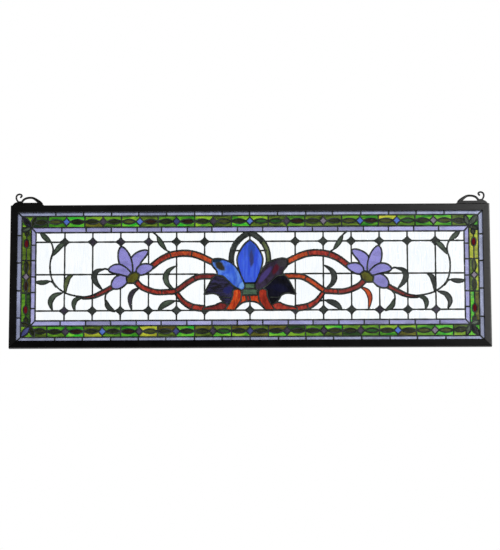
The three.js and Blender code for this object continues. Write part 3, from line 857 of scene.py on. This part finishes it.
class Shop:
    """The node tree of one finish."""

    def __init__(self, name):
        self.material = bpy.data.materials.new(name)
        self.material.use_nodes = True
        self.tree = self.material.node_tree
        self.surface = self.tree.nodes["Principled BSDF"]

    def feed(self, socket, value):
        if isinstance(value, Wire):
            self.tree.links.new(value.socket, socket)
        elif isinstance(value, tuple) and len(value) == 3 and len(socket.default_value) == 4:
            socket.default_value = (*value, 1.0)
        else:
            socket.default_value = value

    def node(self, kind, settings, values, output=0):
        made = self.tree.nodes.new(kind)
        for setting, value in settings.items():
            if setting == "stops":
                self.set_stops(made.color_ramp, value)
            else:
                setattr(made, setting, value)
        for key, value in values.items():
            self.feed(made.inputs[key], value)
        return Wire(self, made.outputs[output])

    def set_stops(self, ramp, stops):
        while len(ramp.elements) < len(stops):
            ramp.elements.new(1.0)
        for element, (position, grey) in zip(ramp.elements, stops):
            element.position = position
            element.color = (grey, grey, grey, 1.0)

    def place(self):
        return self.node("ShaderNodeTexCoord", {}, {}, "Object")

    def stretched(self, scale, shift=None, turn=0.0):
        """Object coordinates, turned in the panel's plane, scaled by one number or one for each
        axis, and moved by a pane's grain."""
        if not isinstance(scale, tuple):
            scale = (scale, scale, scale)
        place = self.node("ShaderNodeMapping", {}, {
            "Vector": self.place(), "Rotation": (0.0, turn, 0.0), "Scale": scale})
        if shift is None:
            return place
        far = self.node("ShaderNodeVectorMath", {"operation": "SCALE"}, {0: shift, "Scale": 37.0})
        return self.node("ShaderNodeVectorMath", {"operation": "ADD"}, {0: place, 1: far})

    def noise(self, vector, detail=3.0, rough=0.5, twist=0.0):
        return self.node("ShaderNodeTexNoise", {}, {
            "Vector": vector, "Scale": 1.0, "Detail": detail, "Roughness": rough, "Distortion": twist})

    def ramp(self, value, *stops):
        return self.node("ShaderNodeValToRGB", {"stops": stops}, {"Fac": value})

    def mix(self, share, one, other, blend="MIX"):
        return self.node("ShaderNodeMix", {"data_type": "RGBA", "blend_type": blend}, {
            0: share, 6: one, 7: other}, 2)

    def attribute(self, name):
        return self.node("ShaderNodeAttribute", {"attribute_name": name}, {}, "Color")

    def split(self, vector, axis):
        return self.node("ShaderNodeSeparateXYZ", {}, {"Vector": vector}, axis)

    def bump(self, height, strength, distance):
        return self.node("ShaderNodeBump", {}, {
            "Strength": strength, "Distance": distance, "Height": height})

    def finish(self, **values):
        for name, value in values.items():
            self.feed(self.surface.inputs[name.replace("_", " ")], value)
        return self.material


def spot_mask(shop, x, z, reach_x, reach_z, turn=0.0, soft=0.35):
    """1 inside an oval of the panel's plane and 0 outside it, with a soft torn edge."""
    place = shop.place()
    torn = shop.noise(shop.stretched(70.0), 4.0, 0.6)
    across = (shop.split(place, "X") - x * MM) + (torn - 0.5) * 0.008
    up = (shop.split(place, "Z") - (z * MM + MIDDLE)) + (torn - 0.5) * 0.006
    cosine = math.cos(turn)
    sine = math.sin(turn)
    along = (across * cosine + up * sine) * (1 / (reach_x * MM))
    over = (up * cosine - across * sine) * (1 / (reach_z * MM))
    distance = (along * along + over * over) ** 0.5
    return ((1.0 - distance) * (1 / soft)).clamped()


def stained(name, across, up, contrast, clearness=0.75, turn=0.0, spots=()):
    """Streaky glass: wisps of a second colour run through a pane's stain, with darker clouds. The
    streaks repeat so many times in a metre across the panel and up it."""
    shop = Shop(name)
    streak = (across, across, up)
    grain = shop.attribute("grain")
    flow = shop.noise(shop.stretched(streak, grain, turn), 5.0, 0.6, 1.4)
    wisps = shop.ramp(flow, (0.42, 0.0), (0.62, 1.0))
    colour = shop.mix(wisps * contrast, shop.attribute("stain"), shop.attribute("wisp"))
    coarse = tuple(0.6 * size for size in streak)
    cloud = shop.noise(shop.stretched(coarse, grain, turn), 4.0, 0.6, 0.8)
    colour = shop.mix(shop.ramp(cloud, (0.46, 0.0), (0.72, 0.6)) * contrast, colour, (0.0, 0.0, 0.0))
    for mask, tone in spots:
        colour = shop.mix(spot_mask(shop, *mask), colour, tone)
    fine = shop.noise(shop.stretched(400.0, grain), 2.0, 0.5)
    colour = shop.mix(fine * 0.12, colour, (0.0, 0.0, 0.0))
    ripple = shop.noise(shop.stretched((90.0, 90.0, 60.0), grain), 2.0, 0.5, 0.4)
    return shop.finish(
        Base_Color=colour, Roughness=0.18 + fine * 0.08, Normal=shop.bump(ripple, 0.35, 0.0012),
        Transmission_Weight=clearness, IOR=1.45, Specular_IOR_Level=0.35)


def clear_glass():
    """Clear glass with fine drawn lines that run upwards, faint blue clouds and a few seeds."""
    shop = Shop("clear_glass")
    grain = shop.attribute("grain")
    drawn = shop.noise(shop.stretched((520.0, 520.0, 34.0), grain), 3.0, 0.6, 0.6)
    lines = shop.ramp(drawn, (0.5, 0.0), (0.75, 1.0))
    haze = shop.noise(shop.stretched((16.0, 16.0, 10.0), grain), 3.0, 0.5)
    cloud = shop.ramp(haze, (0.45, 0.0), (0.75, 1.0))
    seeds = shop.node("ShaderNodeTexVoronoi", {}, {
        "Vector": shop.stretched((210.0, 210.0, 120.0), grain), "Scale": 1.0}, "Distance")
    speck = shop.ramp(seeds, (0.05, 1.0), (0.1, 0.0))
    colour = shop.mix(lines * 1.2, (0.975, 0.995, 1.0), (0.79, 0.87, 0.95))
    colour = shop.mix(cloud * 0.5, colour, (0.88, 0.935, 0.985))
    colour = shop.mix(speck * 0.5, colour, (0.72, 0.76, 0.82))
    height = drawn * 0.6 + speck * -0.3
    return shop.finish(
        Base_Color=colour, Roughness=0.03, Normal=shop.bump(height, 0.3, 0.0008),
        Transmission_Weight=1.0, IOR=1.45)


def lead_finish():
    """Solder under a dark patina: grey-green with duller and brighter patches and small dents."""
    shop = Shop("lead_patina")
    patches = shop.noise(shop.stretched(60.0), 5.0, 0.6, 0.6)
    worn = shop.ramp(patches, (0.4, 0.0), (0.7, 1.0))
    colour = shop.mix(worn, linear(26, 30, 28), linear(66, 72, 68))
    dents = shop.noise(shop.stretched(340.0), 3.0, 0.6)
    return shop.finish(
        Base_Color=colour, Metallic=0.35, Roughness=0.5 - worn * 0.15,
        Normal=shop.bump(dents, 0.4, 0.0006), Specular_IOR_Level=0.25)


def black_metal(name, gloss_and_shade=0.4):
    """Satin black metal with a faint brushed grain and duller patches of dust. A lower gloss gives a copy
    that reflects the lamps less and looks darker, which stands for painted shade.
    """
    shop = Shop(name)
    grain = shop.noise(shop.stretched((26.0, 700.0, 700.0)), 4.0, 0.6)
    dust = shop.noise(shop.stretched(35.0), 5.0, 0.6)
    colour = shop.mix(shop.ramp(dust, (0.4, 0.0), (0.8, 1.0)), linear(3, 3, 3), linear(11, 11, 11))
    return shop.finish(
        Base_Color=colour, Metallic=0.0, Roughness=0.24 + grain * 0.1,
        Normal=shop.bump(grain, 0.12, 0.0004), Specular_IOR_Level=gloss_and_shade)


def jewel_glass():
    shop = Shop("jewel_glass")
    depth = shop.noise(shop.stretched(120.0), 3.0, 0.5)
    colour = shop.mix(depth, linear(60, 8, 18), linear(124, 20, 32))
    return shop.finish(Base_Color=colour, Roughness=0.06, Transmission_Weight=0.8, IOR=1.5,
                       Normal=shop.bump(depth, 0.05, 0.0003))


# Coloured spots of single panes: middle, reach and turn in the panel's plane, and the colour
SKY_SPOTS = (
    ((-52, 17.5, 13, 7.5, -0.8), linear(54, 50, 40)),
    ((-59, 28, 12, 4.5), linear(26, 50, 72)),
    ((-14, -17, 5, 9, -0.6), linear(120, 170, 236)),
)
PLUM_SPOTS = (
    ((26, 1, 21, 5.5, 0.91), linear(74, 60, 122)),
    ((45.3, 12.5, 13, 5.5, 1.1), linear(86, 20, 38)),
    ((58, 23, 13, 9), linear(58, 56, 62)),
)
BUD_SPOTS = (
    ((2.5, 44, 8, 20), linear(44, 78, 176)),
    ((3, 32, 4, 18), linear(56, 64, 124)),
)
NAVY_SPOTS = (((-38, -25, 11, 7, 0.3), linear(38, 40, 100)),)
BLACK_SPOTS = (((52, -22, 17, 8, -0.2), linear(12, 13, 44)),)


def glass_finishes():
    """A finish for every piece of glass on the cartoon."""
    leaf = stained("leaf_grey_green", 50.0, 70.0, 0.8, 0.55)
    vine = stained("vine_red", 170.0, 90.0, 1.0)
    orange = stained("leg_orange", 190.0, 70.0, 1.0, turn=0.4)
    finishes = {
        "clear_panes": clear_glass(),
        "outer_violet_tiles": stained("pale_violet_opal", 70.0, 30.0, 0.6),
        "inner_violet_tiles": stained("violet_opal", 22.0, 90.0, 0.6),
        "green_ribbon_tiles": stained("ribbon_green", 34.0, 150.0, 1.0),
        "ribbon_eyes": stained("ribbon_eye", 50.0, 120.0, 0.7),
        "ribbon_diamonds": stained("ribbon_diamond", 60.0, 60.0, 0.6),
        "ribbon_jewels": jewel_glass(),
        "corner_leaves": stained("corner_leaf", 60.0, 60.0, 0.7),
        "grid_diamonds": leaf,
        "leaf_panes": leaf,
        "foot_panes": orange,
        "bud_pane": stained("bud_blue", 110.0, 16.0, 0.85, spots=BUD_SPOTS),
        "knot_panes": stained("knot_moss", 50.0, 120.0, 0.8),
        "side_petal_left_pane": stained("petal_sky_blue", 60.0, 24.0, 0.9, turn=0.8, spots=SKY_SPOTS),
        "side_petal_right_pane": stained("petal_purple", 60.0, 30.0, 0.9, turn=-0.8, spots=PLUM_SPOTS),
        "lower_petal_left_pane": stained("petal_navy", 40.0, 130.0, 1.0, turn=-0.3, spots=NAVY_SPOTS),
        "lower_petal_right_pane": stained("petal_black_navy", 30.0, 60.0, 1.0, spots=BLACK_SPOTS),
    }
    for word, _ in SIDES:
        finishes[f"flower_petals_{word}"] = stained(f"petal_violet_{word}", 34.0, 60.0, 0.6)
        finishes[f"calyx_{word}_pane"] = stained(f"calyx_olive_{word}", 70.0, 40.0, 0.8)
        finishes[f"leg_{word}_pane"] = orange
        finishes[f"hoop_{word}_panes"] = leaf
        finishes[f"inner_scroll_{word}_pane"] = vine
        for name, *_ in VINES:
            finishes[f"{name}_{word}_panes"] = vine
    return finishes


# The slot of each piece of glass, by how its name starts
SLOTS = {
    "clear_glass": ("clear_panes",),
    "pale_violet_glass": ("outer_violet_tiles",),
    "violet_glass": ("inner_violet_tiles", "flower_petals"),
    "green_glass": ("green_ribbon_tiles",),
    "olive_glass": ("ribbon_eyes", "calyx"),
    "blue_glass": ("ribbon_diamonds", "bud", "side_petal_left"),
    "purple_glass": ("side_petal_right",),
    "red_glass": ("tail_vine", "middle_vine", "upper_vine"),
    "dark_red_glass": ("ribbon_jewels", "inner_scroll", "lower_vine"),
    "midnight_glass": ("corner_leaves", "lower_petal"),
    "grey_green_glass": ("grid_diamonds", "leaf_panes", "hoop"),
    "orange_glass": ("foot", "leg"),
    "moss_glass": ("knot",),
}
# Pieces that are fused with the leading among the solids
FUSED = ("ribbon_eyes", "ribbon_diamonds", "ribbon_jewels", "corner_leaves", "grid_diamonds", "leaf_panes")
CLEAR_NODES = ["clear_bottom_row", "clear_around_bud", "clear_foot_arch"] + [
    f"clear_{place}_{word}" for place in ("top_row", "outer_field", "between_vines", "scroll_bay")
    for word, _ in SIDES]


def slot_of(name):
    return next(slot for slot, starts in SLOTS.items() if name.startswith(starts))


def nodes_of(name):
    """The solids that a piece of glass stands for. As a rule that is the one that shares its name."""
    if name in FUSED:
        return []
    if name == "clear_panes":
        return CLEAR_NODES
    if name.startswith("flower_petals"):
        return [name.replace("flower_petals", petal) for petal in PETAL_NODES]
    return [name.removesuffix("_panes").removesuffix("_pane").replace("_tiles", "_border")]


# Frame and hangers


def rounded_profile():
    """The bar's section as (inset from the outer edge, depth): rounded outside, grooved inside."""
    half = FRAME_DEPTH / 2
    groove = LEAD_DEPTH / 2 + GAP
    radius = 1.6
    lip = 0.8
    turn = np.linspace(0, np.pi / 2, 5)
    corner = np.stack([radius * (1 - np.sin(turn)), radius * (1 - np.cos(turn))], 1)
    front = [[inset, -half + deep] for inset, deep in corner[::-1]]
    front += [[FRAME_FACE - lip, -half], [FRAME_FACE, -half + lip]]
    front += [[FRAME_FACE, -groove], [FRAME_FACE - GROOVE_DEPTH, -groove]]
    back = [[inset, -deep] for inset, deep in front[::-1]]
    return np.array(front + back)


def make_frame(finish, shaded_bottom_finish):
    """Four mitred bars: the section's points on each bar's two mitred ends, joined by strips."""
    profile = rounded_profile()
    joint = GAP / 2
    for name, axis, sign in (("top", 0, 1), ("bottom", 0, -1), ("left", 1, -1), ("right", 1, 1)):
        long_half = (HALF_WIDTH, HALF_HEIGHT)[axis]
        wide_half = (HALF_HEIGHT, HALF_WIDTH)[axis]
        ends = []
        for way in (-1, 1):
            along = way * (long_half - profile[:, 0] - joint)
            across = sign * (wide_half - profile[:, 0])
            flat = np.stack([along, across] if axis == 0 else [across, along], 1)
            ends.append(to_world(flat, profile[:, 1]))
        # The bottom bar takes the less glossy copy of the black finish: painted shade, darker because that
        # bar stands in shade.
        own_finish = shaded_bottom_finish if name == "bottom" else finish
        bar = add_mesh(f"{name}_bar", np.concatenate(ends), tube(2, len(profile)), own_finish)
        turn_outwards(bar)
        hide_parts(f"frame_{name}")


def turn_outwards(piece):
    """Turn every face of a closed mesh over if its signed volume is negative."""
    mesh = piece.data
    mesh.calc_loop_triangles()
    points = np.empty(len(mesh.vertices) * 3)
    mesh.vertices.foreach_get("co", points)
    points = points.reshape(-1, 3)
    corners = np.empty(len(mesh.loop_triangles) * 3, int)
    mesh.loop_triangles.foreach_get("vertices", corners)
    a, b, c = points[corners.reshape(-1, 3)].transpose(1, 0, 2)
    if np.sum(a * np.cross(b, c)) < 0:
        mesh.flip_normals()


def wire(run, width, depth, ball=None, sides=12, widths=1.0):
    """Round wire along a run, and where a ball's radius is given, a ball on its last point."""
    parts = [bead(run, width, depth, sides, widths)]
    if ball:
        parts.append(dots([run[-1]], ball, 2 * ball, 12, 8))
    return joined(parts)


LOOP_CENTRE = 384.0
HANGER_DEPTH = 4.0
SCROLL_WIRE = 3.1
SCROLL_BALL = 1.8
FOOT = [[-24, 0], [33, 0], [31.4, 2.2], [28.8, 4.4], [23.8, 7], [20.4, 8.4], [16.8, 8], [15.2, 5.4],
        [-17, 5.4]]
# The arch's middle line and its width at each point, from the scroll to the foot's inner tip
ARCH = [[17.4, 4.6, 4.2], [13.4, 10.4, 3.9], [8.6, 13.4, 3.8], [2.4, 14.5, 3.8], [-3.3, 14, 4.1],
        [-7.8, 11.7, 4.8], [-12.4, 8.3, 5.8], [-17, 4.9, 5.4], [-20, 2.6, 3.6]]
CURL = [[20, 4], [24.4, 10], [25.9, 14.7], [24.5, 19], [20.6, 20.9], [17.2, 19.8], [16.2, 17.8], [18, 15.6]]


def make_hanger(word, side, finish):
    """A forged foot with soft edges, an arched loop and a scroll with a ball at its end."""
    base = np.array([side * LOOP_CENTRE, HALF_HEIGHT + GAP])
    mirror = np.array([side, 1])
    foot = np.array(FOOT, float)
    soft = 0.7
    middle = foot.mean(0)
    shrunk = foot - np.sign(foot - middle) * soft
    shrunk[:2, 1] = 0
    half = HANGER_DEPTH / 2
    layers = ((shrunk, -half), (foot, -half + soft), (foot, half - soft), (shrunk, half))
    points = np.concatenate([to_world(base + flat * mirror, depth) for flat, depth in layers])
    plate = add_mesh(f"hanger_foot_{word}", points, tube(len(layers), len(foot)), finish)
    arch = through(ARCH, 48)
    loop_wire = wire(base + arch[:, :2] * mirror, 1.0, HANGER_DEPTH - 0.4, widths=arch[:, 2])
    loop = add_mesh(f"hanger_loop_{word}", *loop_wire, finish, True)
    curl = base + through(CURL, 56) * mirror
    scroll_wire = wire(curl, SCROLL_WIRE, SCROLL_WIRE + 0.4, SCROLL_BALL)
    scroll = add_mesh(f"hanger_scroll_{word}", *scroll_wire, finish, True)
    for piece in (plate, loop, scroll):
        turn_outwards(piece)
        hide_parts(f"hanger_{word}")


# Camera, light and surroundings

CAMERA_DISTANCE = 5.0
CAMERA_BELOW = math.radians(12.01)
CAMERA_ASIDE = math.radians(-0.80)
CAMERA_ROLL = math.radians(-0.10)
AIM = Vector((0.0001, 0.0, -0.1382))
PICTURE_WIDTH = 500
FOCUS_PIXELS = 2868.0
SENSOR_WIDTH = 36.0
FLOOR_REACH = 30.0
FLOOR_LEVEL = -1.6
# Name, place, size and power
LIGHTS = (
    ("soft_key", (-0.6, -2.0, 2.8), 1.2, 6),
    ("soft_side", (1.35, -2.4, 0.45), 0.9, 46),
    ("soft_back", (0.4, 1.8, 3.0), 1.2, 8),
)
# How bright the white surroundings are for each kind of ray
WORLD_STRENGTHS = (
    ("Is Camera Ray", 1.0), ("Is Transmission Ray", 1.05), ("Is Diffuse Ray", 0.7), ("Is Glossy Ray", 0.055))


def set_camera():
    """Look along the photograph's line: almost straight on, and from a little below."""
    data = bpy.data.cameras.new("camera")
    data.sensor_fit = "HORIZONTAL"
    data.sensor_width = SENSOR_WIDTH
    data.lens = SENSOR_WIDTH * FOCUS_PIXELS / PICTURE_WIDTH
    data.clip_end = 60.0
    camera = bpy.data.objects.new("camera", data)
    bpy.context.scene.collection.objects.link(camera)
    look = Vector((math.sin(CAMERA_ASIDE) * math.cos(CAMERA_BELOW),
                   math.cos(CAMERA_ASIDE) * math.cos(CAMERA_BELOW), math.sin(CAMERA_BELOW)))
    turned = look.to_track_quat("-Z", "Y").to_matrix().to_4x4()
    roll = Matrix.Rotation(CAMERA_ROLL, 4, "Z")
    camera.matrix_world = Matrix.Translation(AIM - look * CAMERA_DISTANCE) @ turned @ roll
    bpy.context.scene.camera = camera


def area_light(name, place, size, power):
    data = bpy.data.lights.new(name, "AREA")
    data.shape = "SQUARE"
    data.size = size
    data.energy = power
    light = bpy.data.objects.new(name, data)
    light.location = place
    light.rotation_euler = (AIM - Vector(place)).to_track_quat("-Z", "Y").to_euler()
    bpy.context.scene.collection.objects.link(light)


def set_world():
    """A white studio: full white straight on and through glass, softer on surfaces, dim in
    reflections. Of the strengths that hold for a ray, the largest counts."""
    world = bpy.data.worlds.new("studio")
    bpy.context.scene.world = world
    world.use_nodes = True
    nodes = world.node_tree.nodes
    links = world.node_tree.links
    background = nodes["Background"]
    background.inputs["Color"].default_value = (1.0, 1.0, 1.0, 1.0)
    path = nodes.new("ShaderNodeLightPath")
    total = None
    for ray, amount in WORLD_STRENGTHS:
        share = nodes.new("ShaderNodeMath")
        share.operation = "MULTIPLY"
        share.inputs[1].default_value = amount
        links.new(path.outputs[ray], share.inputs[0])
        if total:
            larger = nodes.new("ShaderNodeMath")
            larger.operation = "MAXIMUM"
            links.new(total.outputs[0], larger.inputs[0])
            links.new(share.outputs[0], larger.inputs[1])
            share = larger
        total = share
    links.new(total.outputs[0], background.inputs["Strength"])


def lay_floor():
    corners = [(x, y, FLOOR_LEVEL) for x, y in rectangle((FLOOR_REACH, FLOOR_REACH)).tolist()]
    mesh = bpy.data.meshes.new("floor")
    mesh.from_pydata(corners, [], [(0, 1, 2, 3)])
    floor = bpy.data.objects.new("floor", mesh)
    bpy.context.scene.collection.objects.link(floor)
    shop = Shop("pale_floor")
    mottle = shop.noise(shop.stretched(2.0), 3.0, 0.5)
    mesh.materials.append(shop.finish(
        Base_Color=shop.mix(mottle, (0.86, 0.86, 0.87), (0.9, 0.9, 0.9)), Roughness=0.7))


set_camera()
drawing = draw_cartoon()
panes, lead_joints = make_panes(drawing, glass_finishes())
for piece_name, piece in panes.items():
    nodes = nodes_of(piece_name)
    if nodes:
        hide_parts(*nodes)
    slot_of(piece_name)
make_leading(drawing, lead_joints, lead_finish())
# The bottom bar's finish is the frame's black with its gloss lowered, so it reflects the lamps less: painted
# shade on the bottom bar.
make_frame(black_metal("frame_black"), black_metal("bottom_bar_shaded_black", 0.1))
for side_word, side_sign in SIDES:
    make_hanger(side_word, side_sign, black_metal(f"hanger_black_{side_word}"))
set_world()
for light in LIGHTS:
    area_light(*light)
lay_floor()
bpy.context.scene.view_settings.view_transform = "Standard"
